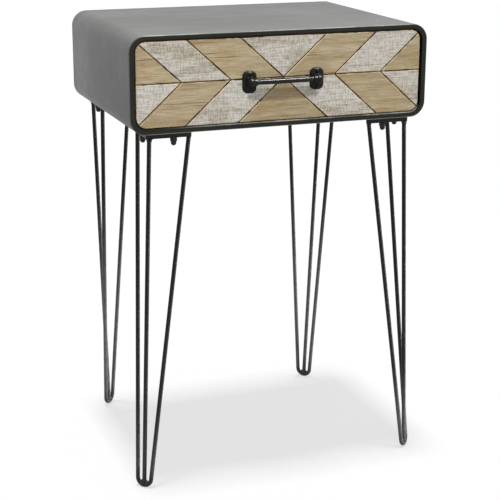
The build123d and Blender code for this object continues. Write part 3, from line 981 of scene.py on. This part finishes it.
def rim_steel(made):
    """Darkened steel with painted shade that blackens the inner bend, a painted highlight on the
    upward-facing lip, and the case's grey along the outer edge with painted highlights where that edge looks
    up or down.
    """
    metal(made, "rim", 0.34, 14.0, gloss=0.2)
    band, deep = made.attribute("band"), made.attribute("deep")
    ledge = made.shared("Rubbed ledges", Vector=made.place)["Mask"]
    across = made.part(made.place, "X")
    # Painted shade: the inner bend, marked deep, goes near black
    made.coat(made.ranged(deep, 0.01, 0.16), made.tone("rim", 0.1))
    # Painted highlight on the upward-facing inner lip, stronger to the right
    made.coat(made.times(ledge, made.ranged(across, -0.19, -0.05, 0.05, 0.9)), made.tone("wear_and_sheen"))
    # Outer edge: the case's grey, with painted highlights where it looks up or down, fading at the corners
    level = made.maths("MAXIMUM", ledge, made.ranged(made.upward(), -0.2, -0.6))
    level = made.times(level, made.ranged(made.maths("ABSOLUTE", across), 0.212, 0.196))
    made.coat(band, made.mixed(level, made.tone("case", 0.9), made.tone("wear_and_sheen", 1.4)))
    # Less reflection in the inner bend, which keeps the painted shade dark
    made.fill(made.shader.inputs["Specular IOR Level"], made.ranged(deep, 0.01, 0.16, 0.2, 0.05))


def leg_steel(made):
    """Blackened steel with painted highlights on upward-facing parts and painted light that makes the rods
    lighter towards the floor, most at the back and the right, and less where the bends meet the floor.
    """
    metal(made, "leg", 0.36, 30.0, gloss=0.16, ledge=0.3, relief=0.08)
    across, back, height = (made.part(made.place, axis) for axis in "XYZ")
    # Painted light: lighter towards the floor, most at the back and the right, less where the bends touch the
    # floor
    behind = made.times(made.ranged(height, 0.12, 0.42, 1.0, 0.0), made.ranged(back, -0.1, 0.1, 0.1, 1.0))
    low = made.times(made.ranged(height, 0.02, 0.17, 1.0, 0.0), made.ranged(across, -0.1, 0.15, 0.4, 0.95))
    patchy = made.ranged(made.clouds(made.place, 90.0, 4.0, 0.7), 0.3, 0.7, 0.65, 1.0)
    darker_at_floor = made.ranged(height, 0.004, 0.035, 0.4, 1.0)
    painted_light = made.times(made.maths("MAXIMUM", behind, low), darker_at_floor)
    made.coat(made.times(painted_light, patchy), made.tone("leg_light"))


def bare_wood(made, grain):
    """Colour of the bare sawn wood."""
    made.colour = made.mixed(grain["Bands"], made.tone("wood_light"), made.tone("wood_middle"))
    made.coat(made.ranged(grain["Patches"], 0.45, 1.0, 0.0, 0.35), made.tone("wood_warm"))
    made.coat(made.times(grain["Fine"], 0.36), made.tone("wood_dark"))
    made.coat(made.times(grain["Saw"], 0.2), made.tone("wood_light"))
    made.coat(made.times(grain["Fibres"], 0.7), made.tone("wood_dark"))


def washed_wood(made, grain):
    """Colour of the whitewashed wood: the wash holds to saw marks and grain and is thin in patches."""
    weave = made.maths("ADD", made.times(grain["Saw"], 0.5), made.times(grain["Fine"], 0.5))
    cover = made.ranged(weave, 0.1, 0.85, 0.35, 1.0)
    cover = made.maths("SUBTRACT", cover, made.ranged(grain["Patches"], 0.55, 1.0, 0.0, 0.34))
    cover = made.maths("SUBTRACT", cover, made.times(grain["Fibres"], 0.35))
    made.colour = made.mixed(cover, made.tone("washed_wood"), made.tone("wash"))


def tile_wood(made, wood, own_share):
    """Sawn tile, no two of one tone, its edges chipped pale or darkened with painted groove shade in turn,
    and its sides darkened with painted groove shade.
    """
    edge, seed, deep = (made.attribute(label) for label in ("edge", "seed", "deep"))
    grain = made.shared("Sawn grain", Vector=made.place, Seed=seed)
    wood(made, grain)
    number = made.maths("ROUND", made.times(seed, 100.0))
    own = made.add("TexWhiteNoise", {"W": number}, noise_dimensions="1D").outputs["Value"]
    made.coat(made.times(own, own_share), made.tone("wood_dark"))
    # Along the outline the edge is chipped pale in some stretches; in others, and down the sides marked deep,
    # it takes painted groove shade, lighter in patches
    turn = made.ranged(made.clouds(made.place, 55.0, 3.0), 0.44, 0.54)
    pale = made.times(made.ranged(edge, 0.3, 0.7, 0.0, 0.7), made.maths("SUBTRACT", 1.0, turn))
    dark = made.times(made.ranged(edge, 0.66, 0.86, 0.0, 0.85), turn)
    shade_breakup = made.ranged(made.clouds(made.place, 14.5, 2.0), 0.4, 0.54)
    hollow = made.mixed(shade_breakup, made.tone("groove_shade", 0.7), made.tone("groove_shade", 4.0))
    made.coat(pale, made.tone("wood_light", 1.12))
    made.coat(dark, hollow)
    made.coat(made.ranged(deep, 0.02, 0.16, 0.0, 0.95), hollow)
    height = made.maths("SUBTRACT", made.maths("ADD", grain["Saw"], grain["Fine"]), grain["Fibres"])
    rough = made.ranged(grain["Saw"], 0.0, 1.0, 0.72, 0.9)
    made.surface({"Roughness": rough, "Specular IOR Level": 0.3}, height, 0.0003, 0.5)


def board_wood(made, turn):
    """Planed board whose grain runs along X, or along Y when it is turned."""
    turned = made.add("Mapping", {"Vector": made.place, "Rotation": (0, 0, turn)}).outputs["Vector"]
    grain = made.shared("Sawn grain", Vector=turned, Seed=3.0)
    made.colour = made.mixed(grain["Bands"], made.tone("board_light"), made.tone("board_dark"))
    made.coat(made.times(grain["Fibres"], 0.35), made.tone("board_dark", 0.6))
    rough = made.ranged(grain["Bands"], 0.0, 1.0, 0.48, 0.62)
    made.surface({"Roughness": rough}, grain["Fibres"], 0.0001, 0.3)


def matt_rubber(made):
    """Matt rubber with a fine grain."""
    mottle = made.shared("Mottle", Vector=made.place, Scale=60.0)
    made.colour = made.mixed(mottle["Patches"], made.tone("rubber", 0.8), made.tone("rubber", 1.3))
    rough = made.ranged(mottle["Flecks"], 0.3, 0.7, 0.7, 0.85)
    made.surface({"Roughness": rough}, mottle["Flecks"], 0.0001, 0.4)


FINISHES = {
    "Grey steel": case_steel,
    "Rim steel": rim_steel,
    "Leg steel": leg_steel,
    "Black screws": lambda made: metal(made, "leg", 0.36, 60.0, gloss=0.25, ledge=0.3),
    "Handle iron": lambda made: metal(made, "iron", 0.27, 45.0, gloss=0.15, relief=0.12),
    "Handle bar": lambda made: metal(made, "iron", 0.25, 45.0, gloss=0.2, relief=0.04),
    "Zinc": lambda made: metal(made, "zinc", 0.34, 40.0, metallic=0.95, streak=(300.0, 20.0, 300.0)),
    "Bare tile": lambda made: tile_wood(made, bare_wood, 0.25),
    "Washed tile": lambda made: tile_wood(made, washed_wood, 0.08),
    "Board along": lambda made: board_wood(made, 0.0),
    "Board across": lambda made: board_wood(made, math.pi / 2),
    "Rubber": matt_rubber,
}


def finish(name):
    """Finish by name, made the first time it is asked for."""
    known = bpy.data.materials.get(name)
    if known:
        return known
    made = Finish(name)
    FINISHES[name](made)
    made.fill(made.shader.inputs["Base Color"], made.colour)
    return made.material


# Operators


class TableOperator(bpy.types.Operator):
    """Common ground of the table's operators."""

    bl_options = {"REGISTER", "UNDO"}

    @property
    def sizes(self):
        return bpy.context.scene.table_sizes


class BuildCase(TableOperator):
    """Build the wrapped case, its rim, its back and the back's screws"""

    bl_idname = "side_table.build_case"
    bl_label = "Case"

    def execute(self, context):
        sizes = self.sizes
        steel = finish("Grey steel")
        add_piece("case_shell", case_shell_shape(sizes), steel, "case", "case_steel", "case_wrap")
        add_piece("opening_rim", rim_shape(sizes), finish("Rim steel"), "case", "rim_steel", "front_rim")
        back = eased_copy("back_panel", sizes.metal_edge)
        add_piece("case_back", back, steel, "case", "case_steel", "back_panel", smooth_angle=FLAT_ANGLE)
        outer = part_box("back_panel_screws")[1].y
        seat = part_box("back_panel")[1].y
        head = screw_head(sizes.small_head, outer - seat, 2, sizes.back_cross)
        places = [facing((c.x, seat, c.z), Y_AXIS) for c in solid_centres("back_panel_screws")]
        heads, black = scattered(head, places), finish("Black screws")
        add_piece("back_screw_heads", heads, black, "case", "dark_screws", "back_panel_screws")
        return {"FINISHED"}


class BuildLegs(TableOperator):
    """Build the four hairpin legs: plate, bent rod, straight rod and welds"""

    bl_idname = "side_table.build_legs"
    bl_label = "Legs"

    def execute(self, context):
        sizes = self.sizes
        steel = finish("Leg steel")
        for leg in LEGS:
            plan = LegPlan(leg, sizes)
            plate = eased_copy(f"{leg}_bracket", sizes.plate_edge)
            bent = bent_rod_shape(plan, sizes.round_sides)
            straight = straight_rod_shape(plan, sizes.round_sides)
            add_piece(f"{leg}_plate", plate, steel, "case", "leg_steel", f"{leg}_bracket")
            add_piece(f"{leg}_bent_rod", bent, steel, "case", "leg_steel", f"{leg}_hairpin_rod")
            add_piece(f"{leg}_straight_rod", straight, steel, "case", "leg_steel", f"{leg}_corner_rod")
            welds = weld_shape(plan, sizes)
            add_piece(f"{leg}_welds", welds, steel, "case", "leg_steel", smooth_angle=WELD_ANGLE)
        return {"FINISHED"}


class BuildLegFasteners(TableOperator):
    """Build the bolts, washers and dome nuts that hold the legs"""

    bl_idname = "side_table.build_leg_fasteners"
    bl_label = "Leg fasteners"

    def execute(self, context):
        sizes = self.sizes
        black = finish("Black screws")
        low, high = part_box("leg_cap_nuts")
        places = [Matrix.Translation((c.x, c.y, high.z)) for c in solid_centres("leg_cap_nuts")]
        nuts = scattered(dome_nut_shape(sizes.nut, high.z - low.z), places)
        add_piece("dome_nuts", nuts, black, "case", "dark_screws", "leg_cap_nuts")
        low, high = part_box("leg_washers")
        places = [Matrix.Translation((c.x, c.y, high.z)) for c in solid_centres("leg_washers")]
        rings = scattered(washer_shape(sizes.washer, sizes.washer_hole, high.z - low.z), places)
        add_piece("washers", rings, black, "case", "dark_screws", "leg_washers")
        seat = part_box("case_wrap")[0].z + sizes.sheet
        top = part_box("leg_bolts")[1].z
        head = screw_head(sizes.bolt_head, top - seat, 2, sizes.bolt_cross)
        places = [Matrix.Translation((c.x, c.y, seat)) for c in solid_centres("leg_bolts")]
        add_piece("bolt_heads", scattered(head, places), black, "case", "dark_screws", "leg_bolts")
        return {"FINISHED"}


class BuildTiles(TableOperator):
    """Build the fourteen sawn tiles of the chevron front"""

    bl_idname = "side_table.build_tiles"
    bl_label = "Tiles"

    def execute(self, context):
        for row, name in enumerate(ROWS):
            for number in range(1, TILES_IN_A_ROW + 1):
                node = f"tile_{name}_{number}"
                washed = (number + row) % 2 == 0
                slot = "whitewashed_wood" if washed else "natural_wood"
                seed = FIRST_SEED + SEED_STEP * number + SEED_ROW_STEP * row
                shape = tile_shape(node, self.sizes, seed)
                material = finish("Washed tile" if washed else "Bare tile")
                add_piece(f"front_{node}", shape, material, "drawer", slot, node)
        return {"FINISHED"}


class BuildDrawerBox(TableOperator):
    """Build the boards of the drawer's box"""

    bl_idname = "side_table.build_drawer_box"
    bl_label = "Drawer box"

    def execute(self, context):
        along, across = finish("Board along"), finish("Board across")
        boards = {
            "drawer_front_board": ("front_board", along),
            "drawer_back": ("back_board", along),
            "drawer_bottom": ("bottom_board", along),
            "drawer_side_left": ("left_board", across),
            "drawer_side_right": ("right_board", across),
        }
        for node, (name, material) in boards.items():
            board = eased_copy(node, self.sizes.board_edge)
            add_piece(name, board, material, "drawer", "box_wood", node, smooth_angle=FLAT_ANGLE)
        return {"FINISHED"}


class BuildSlides(TableOperator):
    """Build the runners on the case, the bars on the drawer, their screws and the buffers"""

    bl_idname = "side_table.build_slides"
    bl_label = "Slides"

    def execute(self, context):
        sizes = self.sizes
        zinc, wood = finish("Zinc"), finish("Board across")
        for side in ("left", "right"):
            runner = eased_copy(f"runner_{side}", sizes.metal_edge / 2)
            add_piece(f"{side}_runner", runner, zinc, "case", "runner_steel", f"runner_{side}")
            bar = eased_copy(f"slide_bar_{side}", sizes.board_edge)
            add_piece(f"{side}_slide_bar", bar, wood, "drawer", "slide_wood", f"slide_bar_{side}")
        screws = frame["nodes"]["slide_bar_screws"].data
        screws.materials.clear()
        screws.materials.append(zinc)
        buffers = eased_copy("rear_bumpers", sizes.board_edge)
        add_piece("buffers", buffers, finish("Rubber"), "case", "bumper_rubber", "rear_bumpers")
        return {"FINISHED"}


class BuildHandle(TableOperator):
    """Build the cast feet, the bar and the screws of the handle"""

    bl_idname = "side_table.build_handle"
    bl_label = "Handle"

    def execute(self, context):
        sizes = self.sizes
        iron = finish("Handle iron")
        for side in ("left", "right"):
            node, name = f"handle_foot_{side}", f"{side}_handle_foot"
            foot = handle_foot_shape(node, sizes)
            add_piece(name, foot, iron, "drawer", "handle_iron", node, smooth_angle=CAST_ANGLE)
        rail, bright = handle_rail_shape(sizes), finish("Handle bar")
        add_piece("handle_rail", rail, bright, "drawer", "handle_iron", "handle_bar")
        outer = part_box("handle_screws")[0].y
        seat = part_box("handle_foot_left")[1].y - sizes.foot_plate
        head = screw_head(sizes.small_head, seat - outer, 1, sizes.handle_slot)
        places = [facing((c.x, seat, c.z), -Y_AXIS) for c in solid_centres("handle_screws")]
        heads = scattered(head, places)
        add_piece("handle_screw_heads", heads, iron, "drawer", "handle_iron", "handle_screws")
        return {"FINISHED"}


class BuildStage(TableOperator):
    """Set up the floor, the lamps, the white surround and the camera"""

    bl_idname = "side_table.build_stage"
    bl_label = "Stage"

    def execute(self, context):
        stage = context.scene.table_stage
        context.scene.view_settings.view_transform = "Standard"
        floor = self.floor(stage)
        self.surround(context.scene, stage)
        top = self.sun("top_lamp", stage.top_lamp, stage.top_spread, 0.0, math.pi / 2)
        front, glint, stripe = (self.named_sun(stage, name) for name in ("front", "handle", "leg"))
        for lamp in (top, front):
            lamp.light_linking.receiver_collection = self.only([floor], "EXCLUDE")
        passed = [bpy.data.objects[name] for name in ("opening_rim", "left_handle_foot", "right_handle_foot")]
        front.light_linking.blocker_collection = self.only(passed, "EXCLUDE")
        for lamp, label in ((glint, "handle"), (stripe, "_rod")):
            lit = [piece for piece in context.scene.objects if piece.type == "MESH" and label in piece.name]
            lamp.light_linking.receiver_collection = self.only(lit, "INCLUDE")
        stripe.light_linking.blocker_collection = self.only([floor], "EXCLUDE")
        self.floor_lamp(stage).light_linking.receiver_collection = self.only([floor], "INCLUDE")
        self.camera(context.scene, stage)
        return {"FINISHED"}

    def seen(self, nodes):
        """1 where something is seen directly, in a reflection or through glass, and 0 for light."""
        path = nodes.add("LightPath").outputs
        straight = nodes.maths("MAXIMUM", path["Is Camera Ray"], path["Is Glossy Ray"])
        return nodes.maths("MAXIMUM", straight, path["Is Transmission Ray"])

    def floor(self, stage):
        """Broad pale floor, lifted towards white where it is seen."""
        bm = bmesh.new()
        bmesh.ops.create_grid(bm, x_segments=1, y_segments=1, size=stage.floor_reach)
        floor = placed("floor", bm)
        material = bpy.data.materials.new("Pale floor")
        material.use_nodes = True
        nodes = Nodes(material.node_tree)
        nodes.tree.nodes.clear()
        diffuse = nodes.add("BsdfDiffuse", {"Color": (stage.floor_shade,) * 3 + (1.0,)})
        lift = nodes.add("Emission", {"Strength": nodes.times(self.seen(nodes), stage.floor_lift)})
        both = nodes.add("AddShader", {0: diffuse.outputs[0], 1: lift.outputs[0]})
        nodes.add("OutputMaterial", {"Surface": both.outputs[0]})
        floor.data.materials.append(material)
        return floor

    def surround(self, scene, stage):
        """White all round, dimmer as a light than as it is seen."""
        scene.world = bpy.data.worlds.new("White surround")
        scene.world.use_nodes = True
        nodes = Nodes(scene.world.node_tree)
        sockets = nodes.tree.nodes["Background"].inputs
        nodes.fill(sockets["Strength"], nodes.ranged(self.seen(nodes), 0.0, 1.0, stage.sky, 1.0))
        nodes.fill(sockets["Color"], (1.0, 1.0, 1.0, 1.0))

    def only(self, pieces, state):
        """Collection that keeps a lamp off these pieces, or to them alone."""
        group = bpy.data.collections.new("lamp limits")
        for piece in pieces:
            group.objects.link(piece)
        for member in group.collection_objects:
            member.light_linking.link_state = state
        return group

    def lamp(self, name, kind, strength):
        """Lamp of one kind and strength."""
        data = bpy.data.lights.new(name, kind)
        data.energy = strength
        data.cycles.use_multiple_importance_sampling = False
        lamp = bpy.data.objects.new(name, data)
        bpy.context.scene.collection.objects.link(lamp)
        return lamp

    def sun(self, name, strength, spread, turn, height):
        """Far lamp, turned to the right and raised from the front."""
        lamp = self.lamp(name, "SUN", strength)
        lamp.data.angle = spread
        place = Matrix.Rotation(turn, 3, "Z") @ Vector((0, -math.cos(height), math.sin(height)))
        lamp.rotation_mode = "QUATERNION"
        lamp.rotation_quaternion = place.to_track_quat("Z", "Y")
        return lamp

    def named_sun(self, stage, name):
        """Far lamp whose strength, spread, turn and height are properties of the stage."""
        values = [getattr(stage, f"{name}_{label}") for label in ("lamp", "spread", "turn", "height")]
        return self.sun(f"{name}_lamp", *values)

    def floor_lamp(self, stage):
        """Broad lamp far above, wider from front to back than from side to side."""
        strength = stage.floor_lamp * math.pi * Vector(stage.floor_lamp_place).length_squared
        lamp = self.lamp("floor_lamp", "AREA", strength)
        lamp.data.shape = "RECTANGLE"
        lamp.data.size = stage.floor_lamp_wide
        lamp.data.size_y = stage.floor_lamp_deep
        lamp.location = stage.floor_lamp_place
        return lamp

    def camera(self, scene, stage):
        """Camera that looks back, turned, tilted down and rolled."""
        data = bpy.data.cameras.new("camera")
        data.lens = stage.lens
        data.dof.use_dof = False
        camera = bpy.data.objects.new("camera", data)
        turn = Matrix.Rotation(-stage.camera_turn, 4, "Z")
        tilt = Matrix.Rotation(math.pi / 2 - stage.camera_tilt, 4, "X")
        roll = Matrix.Rotation(stage.camera_roll, 4, "Z")
        camera.matrix_world = Matrix.Translation(stage.camera_place) @ turn @ tilt @ roll
        scene.collection.objects.link(camera)
        scene.camera = camera


OPERATORS = (
    BuildCase,
    BuildLegs,
    BuildLegFasteners,
    BuildTiles,
    BuildDrawerBox,
    BuildSlides,
    BuildHandle,
    BuildStage,
)


class SideTablePanel(bpy.types.Panel):
    """Lists the table's sizes, colours and operators"""

    bl_idname = "VIEW3D_PT_side_table"
    bl_label = "Side table"
    bl_space_type = "VIEW_3D"
    bl_region_type = "UI"
    bl_category = "Side table"

    def draw(self, context):
        for group in (context.scene.table_sizes, context.scene.table_colours, context.scene.table_stage):
            box = self.layout.box()
            for name in group.__annotations__:
                box.prop(group, name)
        for operator in OPERATORS:
            self.layout.operator(operator.bl_idname)


GROUPS = {"table_sizes": TableSizes, "table_colours": TableColours, "table_stage": TableStage}


def register():
    for group in GROUPS.values():
        bpy.utils.register_class(group)
    for name, group in GROUPS.items():
        setattr(bpy.types.Scene, name, PointerProperty(type=group))
    for operator in OPERATORS:
        bpy.utils.register_class(operator)
    bpy.utils.register_class(SideTablePanel)


def unregister():
    bpy.utils.unregister_class(SideTablePanel)
    for operator in reversed(OPERATORS):
        bpy.utils.unregister_class(operator)
    for name, group in reversed(GROUPS.items()):
        delattr(bpy.types.Scene, name)
        bpy.utils.unregister_class(group)


def main():
    register()
    for operator in OPERATORS:
        family, name = operator.bl_idname.split(".")
        getattr(getattr(bpy.ops, family), name)()


if __name__ == "__main__":
    main()
